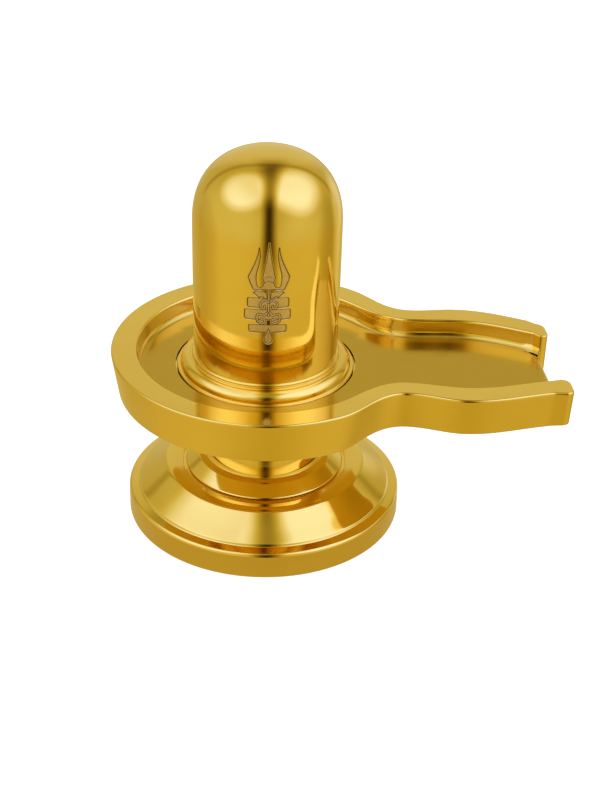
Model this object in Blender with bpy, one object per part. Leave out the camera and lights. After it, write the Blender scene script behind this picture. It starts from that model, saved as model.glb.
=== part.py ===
"""A household shiva lingam in polished brass: a domed shaft with a turned foot, seated in a
round dish whose rim opens into a spout, on a turned pedestal. Metres, +Z up. The origin is on
the shaft's axis at the underside of the base, the spout runs towards +X, and the emblem on the
shaft looks towards -Y."""
import math

import bmesh
import bpy
from mathutils import Vector

MM = 0.001

# Shaft
SHAFT_RADIUS = 16.0 * MM
SHAFT_TAPER = 0.25 * MM
SHAFT_HEIGHT = 50.3 * MM
DOME_POWER = 2.38
SHAFT_TURN = math.radians(4.6)

# Foot moulding of the shaft, outwards and upwards: ledge, torus, neck and bead
FOOT_LEDGE = 1.1 * MM
FOOT_THICKNESS = 0.35 * MM
TORUS_RADIUS = 1.9 * MM
MOULDING_NECK = 0.75 * MM
MOULDING_STEP = 0.25 * MM
BEAD_RADIUS = 0.45 * MM

# Emblem sunk in the front of the shaft, drawn on a grid of its own
EMBLEM_HEIGHT = 23.5 * MM
EMBLEM_RISE = 13.3 * MM
EMBLEM_DEPTH = 0.35 * MM
EMBLEM_GRID = 23.5

# Dish
PEDESTAL_HEIGHT = 31.1 * MM
DISH_THICKNESS = 9.7 * MM
BASIN_DEPTH = 4.1 * MM
BASIN_WIDTH = 6.8 * MM
WALL_RUN = 2.0 * MM
RIM_WIDTH = 5.7 * MM
WALL_TAPER = 1.6 * MM
RIM_EDGE = 0.55 * MM
INNER_EDGE = 0.35 * MM
UNDER_EDGE = 0.4 * MM

# Spout, by stations along its axis: neck, belly and open end
SPOUT_REACH = 28.3 * MM
NECK_SETBACK = 2.5 * MM
BELLY_AHEAD = 11.5 * MM
SPOUT_NECK_HALF = 19.1 * MM
SPOUT_BELLY_HALF = 20.7 * MM
SPOUT_END_HALF = 15.2 * MM
SPOUT_NECK_RIM = 5.1 * MM
SPOUT_BELLY_RIM = 5.9 * MM
SPOUT_END_RIM = 5.8 * MM
SPOUT_NECK_RUN = 2.1 * MM
SPOUT_BELLY_RUN = 2.2 * MM
SPOUT_END_RUN = 2.0 * MM
SPOUT_TAPER = 2.3 * MM
END_TAPER = 0.3 * MM
NECK_LEAN = -0.045
END_LEAN = -0.017
SPOUT_END_SKEW = math.radians(9.0)
HORN_LENGTH = 2.1 * MM
HORN_OUTER_ROUND = 1.7 * MM
HORN_INNER_ROUND = 2.0 * MM
HORN_UNDER_EDGE = 0.9 * MM
LIP_ROUND = 1.7 * MM
END_SLOPE = -0.22
OUTER_LEAVES = math.radians(58.0)
INNER_LEAVES = math.radians(46.0)
FLOOR_LEAVES = math.radians(48.0)

# Pedestal
BASE_RADIUS = 30.6 * MM
BAND_HEIGHT = 6.2 * MM
BAND_EDGE = 0.4 * MM
BASE_FOOT_INSET = 2.6 * MM
BASE_FOOT_RISE = 1.4 * MM
DOME_RISE = 4.3 * MM
GROOVE_DEPTH = 0.3 * MM
GROOVE_WIDTH = 1.2 * MM
RING_RADIUS = 17.5 * MM
RING_HEIGHT = 2.6 * MM
RING_BITE = 3.9 * MM
WAIST_RADIUS = 13.4 * MM
COVE_HEIGHT = 5.5 * MM
COVE_FLARE = 2.6 * MM

# Fits
CONTACT_GAP = 0.3 * MM
SEAT_DEPTH = 0.6 * MM

# Fineness of the facets
TURNED_STEPS = 64
DOME_STEPS = 9
ARC_STEP = math.radians(6.0)
SPAN_STEPS = 8
ROUND_STEPS = 3
WELD = 0.01 * MM

# What follows from the sizes above
SHAFT_FOOT_RADIUS = SHAFT_RADIUS - SHAFT_TAPER
FOOT_RADIUS = SHAFT_FOOT_RADIUS + MOULDING_NECK + TORUS_RADIUS + FOOT_LEDGE
FLOOR_RADIUS = FOOT_RADIUS + BASIN_WIDTH
RIM_INNER_RADIUS = FLOOR_RADIUS + WALL_RUN
DISH_RADIUS = RIM_INNER_RADIUS + RIM_WIDTH
RIM_HEIGHT = PEDESTAL_HEIGHT + DISH_THICKNESS
BASIN_FLOOR = RIM_HEIGHT - BASIN_DEPTH
SHAFT_SEAT = BASIN_FLOOR - SEAT_DEPTH + CONTACT_GAP
TOTAL_HEIGHT = BASIN_FLOOR + SHAFT_HEIGHT
SHOULDER_HEIGHT = TOTAL_HEIGHT - SHAFT_RADIUS
TORUS_FOOT = BASIN_FLOOR + FOOT_THICKNESS
MOULDING_TOP = TORUS_FOOT + TORUS_RADIUS + MOULDING_STEP + 2 * BEAD_RADIUS
SPOUT_NECK = DISH_RADIUS - NECK_SETBACK
SPOUT_BELLY = SPOUT_NECK + BELLY_AHEAD
SPOUT_END = DISH_RADIUS + SPOUT_REACH
BASE_TOP = BAND_HEIGHT + BASE_FOOT_RISE + DOME_RISE
RING_TOP = BASE_TOP + RING_HEIGHT
WAIST_TOP_RADIUS = WAIST_RADIUS + COVE_FLARE


def brass(name, colour, roughness):
    """A polished or satin brass."""
    material = bpy.data.materials.new(name)
    material.use_nodes = True
    shader = material.node_tree.nodes["Principled BSDF"]
    shader.inputs["Base Color"].default_value = (*colour, 1.0)
    shader.inputs["Metallic"].default_value = 1.0
    shader.inputs["Roughness"].default_value = roughness
    material.diffuse_color = (*colour, 1.0)
    return material


def link_mesh(name, bm):
    """Turns a bmesh into an object of its own."""
    bmesh.ops.recalc_face_normals(bm, faces=bm.faces)
    mesh = bpy.data.meshes.new(name)
    bm.to_mesh(mesh)
    bm.free()
    thing = bpy.data.objects.new(name, mesh)
    bpy.context.scene.collection.objects.link(thing)
    return thing


def add_piece(name, bm, material, height=0.0, turn=0.0):
    """A smooth-shaded piece that stands at a height on the axis."""
    piece = link_mesh(name, bm)
    piece.data.materials.append(material)
    piece.data.shade_smooth()
    piece.data.set_sharp_from_angle(angle=math.radians(35.0))
    piece.location.z = height
    piece.rotation_euler.z = turn
    return piece


def cut(target, name, bm, operation="DIFFERENCE"):
    """Cuts the target with a shape, or joins the shape on, both in the target's own frame."""
    cutter = link_mesh(name, bm)
    cutter.parent = target
    cutter.hide_render = True
    cutter.display_type = "WIRE"
    modifier = target.modifiers.new(name, "BOOLEAN")
    modifier.operation = operation
    modifier.object = cutter
    modifier.solver = "EXACT"


def turned(profile):
    """A solid of revolution from (radius, height) points that run from axis to axis."""
    bm = bmesh.new()
    points = [bm.verts.new((radius, 0.0, height)) for radius, height in profile]
    edges = [bm.edges.new(pair) for pair in zip(points, points[1:])]
    bmesh.ops.spin(bm, geom=points + edges, cent=(0, 0, 0), axis=(0, 0, 1), angle=math.tau,
                   steps=TURNED_STEPS, use_merge=True)
    bmesh.ops.remove_doubles(bm, verts=bm.verts, dist=WELD)
    return bm


def disc(radius, bottom, top):
    """The profile of a plain turned disc."""
    return [(0.0, top), (radius, top), (radius, bottom), (0.0, bottom)]


def arc(centre, radius, start, end, steps):
    """Points round a centre, from one angle to another in degrees."""
    angles = [math.radians(start + (end - start) * i / steps) for i in range(steps + 1)]
    return [(centre[0] + radius * math.cos(a), centre[1] + radius * math.sin(a)) for a in angles]


def span(start, end, leave, arrive, steps):
    """Points from start up to but without end, along a curve with the two directions given."""
    start, end = Vector(start), Vector(end)
    pull = 1.1 * (end - start).length
    leave, arrive = Vector(leave).normalized() * pull, Vector(arrive).normalized() * pull
    points = []
    for i in range(steps):
        t = i / steps
        points.append(start * (1 - 3 * t * t + 2 * t ** 3) + leave * (t - 2 * t * t + t ** 3)
                      + end * (3 * t * t - 2 * t ** 3) + arrive * (t ** 3 - t * t))
    return points


def dome_profile():
    """The dome's outline from its top down to the shoulder, a little fuller than a half ball."""
    profile = [(0.0, TOTAL_HEIGHT)]
    for i in range(1, DOME_STEPS + 1):
        angle = math.pi / 2 * (1 - i / DOME_STEPS)
        radius = SHAFT_RADIUS * math.cos(angle) ** (2 / DOME_POWER)
        height = SHAFT_RADIUS * math.sin(angle) ** (2 / DOME_POWER)
        profile.append((radius, SHOULDER_HEIGHT + height))
    return profile


def lingam_profile():
    """The shaft and its foot moulding, top to bottom, from the height of its seat."""
    torus_centre = (SHAFT_FOOT_RADIUS + MOULDING_NECK, TORUS_FOOT)
    bead_centre = (SHAFT_FOOT_RADIUS, MOULDING_TOP - BEAD_RADIUS)
    profile = dome_profile()
    profile += [(SHAFT_FOOT_RADIUS, MOULDING_TOP)]
    profile += arc(bead_centre, BEAD_RADIUS, 60, -50, 3)
    profile += arc(torus_centre, TORUS_RADIUS, 92, 0, 5)
    profile += [(FOOT_RADIUS - FOOT_THICKNESS, TORUS_FOOT), (FOOT_RADIUS, BASIN_FLOOR),
                (FOOT_RADIUS, SHAFT_SEAT), (0.0, SHAFT_SEAT)]
    return [(radius, height - SHAFT_SEAT) for radius, height in profile]


def on_shaft(points):
    """Emblem drawing to real size: x from its middle line, z up from the shaft's seat."""
    scale = EMBLEM_HEIGHT / EMBLEM_GRID
    foot = BASIN_FLOOR + EMBLEM_RISE - SHAFT_SEAT
    return [(x * scale, foot + z * scale) for x, z in points]


def mirrored(half):
    """Closes a right-hand half outline with its mirror image."""
    return half + [(-x, z) for x, z in reversed(half) if x > 0.0]


def trident():
    """A leaf blade between two curved prongs, joined by a crosspiece."""
    blade = [(0.0, 23.5), (0.65, 19.0), (1.35, 15.5), (1.0, 14.4), (1.3, 13.6)]
    prong_inside = [(2.1, 13.4), (2.65, 15.2), (2.25, 18.1), (1.8, 20.4)]
    prong_outside = [(2.1, 22.5), (2.6, 20.1), (4.4, 15.6), (3.3, 12.9)]
    return mirrored(blade + prong_inside + prong_outside + [(0.2, 12.8)])


def wing(side):
    """One half of the wing-shaped yoke under the crosspiece."""
    points = [(0.55, 12.4), (1.6, 12.6), (3.1, 12.35), (3.3, 11.9), (2.5, 11.3), (1.9, 11.2),
              (1.2, 11.5), (0.55, 11.1)]
    return [(side * x, z) for x, z in points]


def bar(middle, half_width):
    """One of the three bars, its corners rounded."""
    corner, half_height = 0.45, 1.15
    outline = []
    for i, (x, z) in enumerate(((1, 1), (-1, 1), (-1, -1), (1, -1))):
        centre = (x * (half_width - corner), middle + z * (half_height - corner))
        outline += arc(centre, corner, 90 * i, 90 * i + 90, 2)
    return outline


def bud():
    """The bud that hangs below the bars."""
    return mirrored([(0.45, 2.0), (0.85, 0.9), (0.5, 0.3), (0.0, 0.0)])


def emblem_cutter():
    """All the emblem's forms as prisms that reach into the front of the shaft."""
    front, back = -1.1 * SHAFT_RADIUS, -0.6 * SHAFT_RADIUS
    bars = [bar(9.65, 4.53), bar(6.9, 5.03), bar(3.6, 4.2)]
    bm = bmesh.new()
    for outline in [trident(), wing(1), wing(-1), bud(), *bars]:
        verts = [bm.verts.new((x, front, z)) for x, z in on_shaft(outline)]
        face = bm.faces.new(verts)
        pushed = bmesh.ops.extrude_face_region(bm, geom=[face])["geom"]
        moved = [v for v in pushed if isinstance(v, bmesh.types.BMVert)]
        bmesh.ops.translate(bm, verts=moved, vec=(0, back - front, 0))
    return bm


def make_lingam(material):
    """The shaft, its emblem sunk to one depth all over by a core that fills the cuts again."""
    lingam = add_piece("lingam", turned(lingam_profile()), material, SHAFT_SEAT, SHAFT_TURN)
    cut(lingam, "emblem_cutter", emblem_cutter())
    low, high = [z for _, z in on_shaft([(0, -4.0), (0, EMBLEM_GRID + 0.8)])]
    core_radius = SHAFT_FOOT_RADIUS + 0.6 * SHAFT_TAPER - EMBLEM_DEPTH
    cut(lingam, "emblem_core", turned(disc(core_radius, low, high)), "UNION")


def past_dish(x):
    """Rises smoothly from 0 within the dish to 1 at the spout's neck and beyond."""
    start = DISH_RADIUS / 2
    share = min(max((x - start) / (SPOUT_NECK - start), 0.0), 1.0)
    return share * share * (3 - 2 * share)


def leaned(point):
    """A plan point set over with the spout, which leans a little towards the near side."""
    lean = NECK_LEAN if point.x < SPOUT_BELLY else END_LEAN
    shift = lean * (point.x - SPOUT_BELLY) * past_dish(point.x)
    return Vector((point.x, point.y + shift))


def end_line(y):
    """How far the spout's floor reaches at a distance y off its axis: cut a little askew."""
    return SPOUT_END - y * math.tan(SPOUT_END_SKEW)


def spout_side(radius, leaves, neck_half, belly_half, end_half):
    """The far side of an outline: off the circle, in to the neck, out to the belly, to the end."""
    start = (radius * math.cos(leaves), radius * math.sin(leaves))
    neck, belly = (SPOUT_NECK, neck_half), (SPOUT_BELLY, belly_half)
    end = (SPOUT_END + HORN_LENGTH, end_half)
    level, down = (1.0, 0.0), (1.0, END_SLOPE)
    side = span(start, neck, (math.sin(leaves), -math.cos(leaves)), level, SPAN_STEPS)
    side += span(neck, belly, level, level, SPAN_STEPS // 2)
    side += span(belly, end, level, down, SPAN_STEPS)
    return side + [Vector(end)]


def round_back(radius, leaves, step):
    """The circle's own arc, from the far side round the back to the near side."""
    sweep = math.tau - 2 * leaves
    steps = round(sweep / step)
    angles = [leaves + sweep * i / steps for i in range(1, steps)]
    return [Vector((radius * math.cos(a), radius * math.sin(a))) for a in angles]


def rounded(before, corner, after, radius):
    """Points round a corner of an outline, from one side of it to the other."""
    start = corner + (before - corner).normalized() * radius
    end = corner + (after - corner).normalized() * radius
    points = []
    for i in range(ROUND_STEPS + 1):
        t = i / ROUND_STEPS
        points.append(start * (1 - t) ** 2 + corner * (2 * t * (1 - t)) + end * t * t)
    return points


def outer_outline():
    """The dish seen from above, anticlockwise, with the two horns at the spout's open end. Each
    point comes with the way that the wall draws in from there down to the underside, and with
    the radius of the wall's lower edge."""
    side = spout_side(DISH_RADIUS, OUTER_LEAVES, SPOUT_NECK_HALF, SPOUT_BELLY_HALF, SPOUT_END_HALF)
    inner_half = SPOUT_END_HALF - SPOUT_END_RIM
    halves = []
    for sign in (1, -1):
        tip = Vector((end_line(sign * SPOUT_END_HALF) + HORN_LENGTH, sign * SPOUT_END_HALF))
        foot = Vector((end_line(sign * inner_half), sign * inner_half))
        inner = foot + Vector((HORN_LENGTH, 0.0))
        run = [Vector((p.x, sign * p.y)) for p in side if p.x < tip.x - 2 * HORN_OUTER_ROUND]
        outside = tip - Vector((1.0, sign * END_SLOPE))
        horn = rounded(outside, tip, inner, HORN_OUTER_ROUND)
        half = []
        for point, before, after in zip(run, run[:1] + run, run[1:] + horn[:1]):
            normal = sign * Vector((after.y - before.y, before.x - after.x)).normalized()
            taper = WALL_TAPER + (SPOUT_TAPER - WALL_TAPER) * past_dish(point.x)
            half.append((leaned(point), normal * taper, UNDER_EDGE))
        for point in horn + rounded(tip, inner, foot, HORN_INNER_ROUND) + [foot]:
            share = (abs(point.y) - inner_half) / SPOUT_END_RIM
            taper = Vector((-END_TAPER, -sign * SPOUT_TAPER * share))
            under = UNDER_EDGE + (HORN_UNDER_EDGE - UNDER_EDGE) * share
            half.append((leaned(point), taper, under))
        halves.append(half)
    back = [(p, p.normalized() * -WALL_TAPER, UNDER_EDGE)
            for p in round_back(DISH_RADIUS, OUTER_LEAVES, ARC_STEP)]
    return halves[0][::-1] + back + halves[1]


def inner_outline(radius, leaves, neck_half, belly_half, end_half):
    """The basin and the channel seen from above, run straight on past the spout's end."""
    side = spout_side(radius, leaves, neck_half, belly_half, end_half)
    side.append(side[-1] + Vector((4 * HORN_LENGTH, 0.0)))
    far = [leaned(p) for p in reversed(side)]
    near = [leaned(Vector((p.x, -p.y))) for p in side]
    return far + round_back(radius, leaves, ARC_STEP) + near


def inward(points):
    """The inward normal at each point of an anticlockwise outline."""
    normals = []
    for before, after in zip(points[-1:] + points[:-1], points[1:] + points[:1]):
        along = (after - before).normalized()
        normals.append(Vector((-along.y, along.x)))
    return normals


def at_height(points, height):
    """Plan points lifted to a height."""
    return [Vector((p.x, p.y, height)) for p in points]


def stack(rings):
    """A closed solid from rings of equal length, from the lowest to the highest."""
    bm = bmesh.new()
    loops = [[bm.verts.new(point) for point in ring] for ring in rings]
    for low, high in zip(loops, loops[1:]):
        for i, vert in enumerate(low):
            j = (i + 1) % len(low)
            bm.faces.new((vert, low[j], high[j], high[i]))
    bm.faces.new(loops[0][::-1])
    bm.faces.new(loops[-1])
    return bm


def dish_blank():
    """The dish before its basin is cut: a plate with rounded edges and a wall that tapers in."""
    outline = outer_outline()
    normals = inward([point for point, _, _ in outline])
    # Each level's inset and height: shares of the lower edge's radius, then those of the upper
    levels = [(1.0, 0.0, 0.0, 0.0), (0.29, 0.29, 0.0, 0.0), (0.0, 1.0, 0.0, 0.0),
              (0.0, 0.0, 0.0, 1.0), (0.0, 0.0, 0.29, 0.29), (0.0, 0.0, 1.0, 0.0)]
    rings = []
    for under_in, under_up, rim_in, rim_down in levels:
        ring = []
        for (point, taper, under), normal in zip(outline, normals):
            height = under * under_up
            if rim_in or rim_down:
                height = DISH_THICKNESS - RIM_EDGE * rim_down
            inset = under * under_in + RIM_EDGE * rim_in
            spot = point + normal * inset + taper * (1 - height / DISH_THICKNESS)
            ring.append((spot.x, spot.y, height))
        rings.append(ring)
    return stack(rings)


def basin_cutter():
    """The basin and the spout's channel, run out past the spout's end and above the rim."""
    top_halves = (SPOUT_NECK_HALF - SPOUT_NECK_RIM, SPOUT_BELLY_HALF - SPOUT_BELLY_RIM,
                  SPOUT_END_HALF - SPOUT_END_RIM)
    runs = (SPOUT_NECK_RUN, SPOUT_BELLY_RUN, SPOUT_END_RUN)
    floor_halves = [half - run for half, run in zip(top_halves, runs)]
    top = inner_outline(RIM_INNER_RADIUS, INNER_LEAVES, *top_halves)
    floor = inner_outline(FLOOR_RADIUS, FLOOR_LEAVES, *floor_halves)
    # The wall's section, as shares of its run and of its height
    wall = [(0.0, 0.0), (0.16, 0.04), (0.32, 0.17), (1.0, 1.0 - INNER_EDGE / BASIN_DEPTH)]
    rings = []
    for run, rise in wall:
        between = [f.lerp(t, run) for f, t in zip(floor, top)]
        rings.append(at_height(between, DISH_THICKNESS - BASIN_DEPTH * (1 - rise)))
    above = 4 * INNER_EDGE
    beyond = [p - n * (INNER_EDGE + above) for p, n in zip(top, inward(top))]
    return stack(rings + [at_height(beyond, DISH_THICKNESS + above)])


def lip_cutter():
    """What rounds off the floor's end between the horns, as a prism across the spout."""
    floor = DISH_THICKNESS - BASIN_DEPTH
    clear = 2 * HORN_LENGTH
    section = arc((SPOUT_END - LIP_ROUND, floor - LIP_ROUND), LIP_ROUND, 80, 0, 4)
    section += [(SPOUT_END + clear, floor - LIP_ROUND), (SPOUT_END + clear, floor + clear),
                (section[0][0], floor + clear)]
    half = SPOUT_END_HALF - SPOUT_END_RIM - SPOUT_END_RUN
    skew = math.tan(SPOUT_END_SKEW)
    centre = leaned(Vector((SPOUT_END, 0.0))).y
    sides = [[Vector((x - y * skew, y + centre, z)) for x, z in section] for y in (-half, half)]
    return stack(sides)


def make_dish(material):
    """The dish with its rim, basin and spout, and a shallow seat on each side."""
    dish = add_piece("yoni_dish", dish_blank(), material, PEDESTAL_HEIGHT)
    cut(dish, "basin_cutter", basin_cutter())
    cut(dish, "lip_cutter", lip_cutter())
    floor = DISH_THICKNESS - BASIN_DEPTH
    shaft_seat = disc(FOOT_RADIUS + CONTACT_GAP, floor - SEAT_DEPTH, floor + SEAT_DEPTH)
    cut(dish, "shaft_seat", turned(shaft_seat))
    waist_seat = disc(WAIST_TOP_RADIUS + CONTACT_GAP, -SEAT_DEPTH, SEAT_DEPTH)
    cut(dish, "waist_seat", turned(waist_seat))


def waist_profile():
    """The waist from its top, which stands in the dish's seat, down to the ring."""
    top = PEDESTAL_HEIGHT + SEAT_DEPTH - CONTACT_GAP
    cove_foot = (WAIST_RADIUS, PEDESTAL_HEIGHT - COVE_HEIGHT)
    profile = [(0.0, top), (WAIST_TOP_RADIUS, top)]
    profile += span((WAIST_TOP_RADIUS, PEDESTAL_HEIGHT - CONTACT_GAP), cove_foot,
                    (-1.0, -0.6), (0.0, -1.0), 4)
    return profile + [cove_foot, (WAIST_RADIUS, RING_TOP + BEAD_RADIUS)]


def ring_profile():
    """The half-round ring under the waist and the groove at its foot."""
    profile = span((RING_RADIUS - RING_BITE, RING_TOP), (RING_RADIUS, BASE_TOP),
                   (1.0, -0.1), (0.1, -1.0), 4)
    return profile + [(RING_RADIUS, BASE_TOP), (RING_RADIUS, BASE_TOP - GROOVE_DEPTH)]


def base_profile():
    """The base's dome, its stepped edge and the band it stands on."""
    foot = (BASE_RADIUS - BASE_FOOT_INSET, BAND_HEIGHT + BASE_FOOT_RISE)
    crown = (RING_RADIUS + GROOVE_WIDTH, BASE_TOP - GROOVE_DEPTH)
    middle = (0.5 * crown[0] + 0.5 * foot[0], 0.7 * crown[1] + 0.3 * foot[1])
    profile = span(crown, middle, (1.0, -0.05), (1.0, -0.88), 4)
    profile += span(middle, foot, (1.0, -0.88), (1.0, -0.66), 3)
    profile += [foot]
    profile += [(BASE_RADIUS - 0.8 * BASE_FOOT_INSET, BAND_HEIGHT + 0.4 * BASE_FOOT_RISE)]
    profile += [(BASE_RADIUS - BAND_EDGE, BAND_HEIGHT), (BASE_RADIUS, BAND_HEIGHT - BAND_EDGE)]
    return profile + [(BASE_RADIUS, BAND_EDGE), (BASE_RADIUS - BAND_EDGE, 0.0), (0.0, 0.0)]


def make_pedestal(material):
    """The waist, ring and base, turned as one piece."""
    profile = waist_profile() + ring_profile() + base_profile()
    add_piece("pedestal", turned(profile), material)


for thing in list(bpy.data.objects):
    bpy.data.objects.remove(thing, do_unlink=True)

make_lingam(brass("polished_brass_shaft", (0.83, 0.60, 0.16), 0.12))
make_dish(brass("polished_brass_dish", (0.80, 0.58, 0.17), 0.18))
make_pedestal(brass("polished_brass_pedestal", (0.81, 0.57, 0.15), 0.14))
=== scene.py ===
# %% [markdown]
# # A brass shiva lingam, finished for a studio picture
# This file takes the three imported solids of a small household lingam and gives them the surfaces
# that the eye sees: a mirror-polished shaft with an etched trident, a dish with soft edges and a
# satin floor, and a turned foot. Each step says what the real piece is before the code makes it.

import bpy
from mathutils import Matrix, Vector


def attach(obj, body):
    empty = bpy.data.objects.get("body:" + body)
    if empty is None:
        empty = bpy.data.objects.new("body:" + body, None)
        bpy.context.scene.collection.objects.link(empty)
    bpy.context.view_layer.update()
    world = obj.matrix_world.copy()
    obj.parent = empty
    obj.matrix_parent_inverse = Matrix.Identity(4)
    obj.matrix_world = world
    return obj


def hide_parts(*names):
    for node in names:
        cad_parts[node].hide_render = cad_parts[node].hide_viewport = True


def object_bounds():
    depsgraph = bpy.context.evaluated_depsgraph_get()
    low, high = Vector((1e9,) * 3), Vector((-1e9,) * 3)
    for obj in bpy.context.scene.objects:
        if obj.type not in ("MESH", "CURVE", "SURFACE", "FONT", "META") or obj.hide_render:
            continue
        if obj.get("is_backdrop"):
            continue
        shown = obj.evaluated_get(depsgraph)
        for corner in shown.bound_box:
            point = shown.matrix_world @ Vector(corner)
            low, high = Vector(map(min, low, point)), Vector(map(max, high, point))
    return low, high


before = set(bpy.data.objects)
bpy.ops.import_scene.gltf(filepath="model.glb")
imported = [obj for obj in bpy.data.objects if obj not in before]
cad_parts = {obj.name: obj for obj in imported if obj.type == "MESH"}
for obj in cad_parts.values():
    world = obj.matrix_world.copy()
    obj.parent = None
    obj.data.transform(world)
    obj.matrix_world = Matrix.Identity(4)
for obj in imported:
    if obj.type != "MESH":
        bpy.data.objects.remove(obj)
cad_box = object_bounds()
print("solids:", sorted(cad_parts))

# %% Tools
import math

import bpy
import numpy as np
from mathutils import Quaternion, Vector
from mathutils.geometry import delaunay_2d_cdt

MM = 0.001
TAU = 2 * math.pi
print("one millimetre is", MM, "of the metres that Blender measures in")

# %% [markdown]
# ## The camera
# The picture is taken from a little above the rim of the dish, with a long lens, so the circles
# of the piece show as clean ellipses. A camera is set by where it stands, the point it looks at
# and how far it is rolled about its own line of sight, which is easier to think about than three
# turning angles.

# %% Camera
CAMERA_STANDS = Vector((17.95, -367.02, 245.18)) * MM
CAMERA_AIMS = Vector((8.54, -25.94, 43.0)) * MM
CAMERA_ROLL = math.radians(1.42)
LENS = 86.354

lens = bpy.data.cameras.new("long_lens")
lens.lens = LENS
lens.clip_start = 0.01
camera = bpy.data.objects.new("camera", lens)
bpy.context.scene.collection.objects.link(camera)
camera.location = CAMERA_STANDS
camera.rotation_mode = "QUATERNION"
gaze = (CAMERA_AIMS - CAMERA_STANDS).to_track_quat("-Z", "Y")
camera.rotation_quaternion = gaze @ Quaternion((0, 0, 1), CAMERA_ROLL)
bpy.context.scene.camera = camera
print("camera stands", round((CAMERA_AIMS - CAMERA_STANDS).length / MM), "mm from its aim")

# %% [markdown]
# ## Writing finishes as sums
# A finish is a sum of patterns: some noise, a mask, a mix of two colours. Node by node this gets
# long, so a small class stands for one socket and turns +, - and * into Math nodes. Then a
# pattern reads like the arithmetic it is.


# %% A socket that does arithmetic
class Wire:
    """One output socket. Adding, taking away or multiplying makes a Math node."""

    def __init__(self, sheet, socket):
        self.sheet = sheet
        self.socket = socket

    def maths(self, operation, first, second=0.0):
        return self.sheet.node("ShaderNodeMath", {"operation": operation}, {0: first, 1: second})

    def __add__(self, other):
        return self.maths("ADD", self, other)

    def __radd__(self, other):
        return self.maths("ADD", other, self)

    def __sub__(self, other):
        return self.maths("SUBTRACT", self, other)

    def __rsub__(self, other):
        return self.maths("SUBTRACT", other, self)

    def __mul__(self, other):
        return self.maths("MULTIPLY", self, other)

    def __rmul__(self, other):
        return self.maths("MULTIPLY", other, self)

    def size(self):
        """The value without its sign."""
        return self.maths("ABSOLUTE", self)

    def larger(self, other):
        """The larger of two values."""
        return self.maths("MAXIMUM", self, other)

    def rise(self, low, high):
        """0 below low, 1 above high, and a soft step between."""
        settings = {"interpolation_type": "SMOOTHSTEP"}
        return self.sheet.node("ShaderNodeMapRange", settings,
                               {"Value": self, "From Min": low, "From Max": high})


class Sheet:
    """A node tree that is being written."""

    def __init__(self, tree):
        self.tree = tree

    def node(self, kind, settings=None, sockets=None, output=0):
        """Adds a node: its settings first, then the values or wires of its sockets."""
        made = self.tree.nodes.new(kind)
        for key, value in (settings or {}).items():
            if key == "stops":
                while len(made.color_ramp.elements) < len(value):
                    made.color_ramp.elements.new(0.5)
                for stop, (place, colour) in zip(made.color_ramp.elements, value):
                    stop.position = place
                    stop.color = (*colour, 1.0)
            else:
                setattr(made, key, value)
        for key, value in (sockets or {}).items():
            if isinstance(value, Wire):
                self.tree.links.new(value.socket, made.inputs[key])
            else:
                made.inputs[key].default_value = value
        return Wire(self, made.outputs[output]) if made.outputs else None

    def mix(self, share, first, second):
        """A colour between two colours."""
        colours = [(*c, 1.0) if isinstance(c, tuple) else c for c in (first, second)]
        return self.node("ShaderNodeMix", {"data_type": "RGBA"},
                         {0: share, 6: colours[0], 7: colours[1]}, output=2)

    def along(self, vector, direction):
        """How far a vector reaches along a direction."""
        return self.node("ShaderNodeVectorMath", {"operation": "DOT_PRODUCT"},
                         {0: vector, 1: direction}, output="Value")

    def stretched(self, vector, scale):
        """A vector or a colour with each of its three parts scaled by itself."""
        return self.node("ShaderNodeVectorMath", {"operation": "MULTIPLY"},
                         {0: vector, 1: scale})

    def noise(self, vector, scale, detail=2.0, roughness=0.5):
        """Cloudy values between about 0.2 and 0.8."""
        return self.node("ShaderNodeTexNoise", {},
                         {"Vector": vector, "Scale": scale, "Detail": detail,
                          "Roughness": roughness})


def blank(name):
    """A new material, and an empty sheet for its nodes."""
    material = bpy.data.materials.new(name)
    material.use_nodes = True
    material.node_tree.nodes.clear()
    return material, Sheet(material.node_tree)


print("a Wire adds its own Math nodes")

# %% [markdown]
# ## Studio light
# Polished brass has hardly any look of its own: it shows the room. Two big soft lights stand to
# the left and the right, above the camera, and the dark gap between them is the dark stripe down
# the middle of every turned form. A fainter dark seam, behind the piece, is the thin line near
# the edges of the shaft. Pictures of a room could be wrapped round the scene, but light that is
# written as a brightness over directions is easier to change, one lamp at a time.

# %% Directions in the room
CAMERA_TURN = math.radians(2.8)
SIDE = (math.cos(CAMERA_TURN), math.sin(CAMERA_TURN), 0.0)
FRONT = (math.sin(CAMERA_TURN), -math.cos(CAMERA_TURN), 0.0)
UP = (0.0, 0.0, 1.0)


def towards(azimuth, elevation):
    """The direction at an azimuth from the camera, to the right, and an elevation, in degrees."""
    a, e = math.radians(azimuth), math.radians(elevation)
    level = Vector(SIDE) * math.sin(a) + Vector(FRONT) * math.cos(a)
    return tuple(level * math.cos(e) + Vector(UP) * math.sin(e))


def glow(sheet, view, azimuth, elevation, inner, outer):
    """1 within the inner angle of a direction, and 0 beyond the outer angle."""
    reach = sheet.along(view, towards(azimuth, elevation))
    return reach.rise(math.cos(math.radians(outer)), math.cos(math.radians(inner)))


print("the camera looks along", [round(-v, 3) for v in FRONT])

# %% [markdown]
# One ramp turns dim light warm and strong light cool, as a camera does with gold, and light from
# below comes out more orange. A camera also holds back its brightest whites, so light that has
# met the brass twice, and is no longer held back, comes out richer: the last factor gives it
# that lift. The camera itself sees plain white behind the piece.

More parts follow.
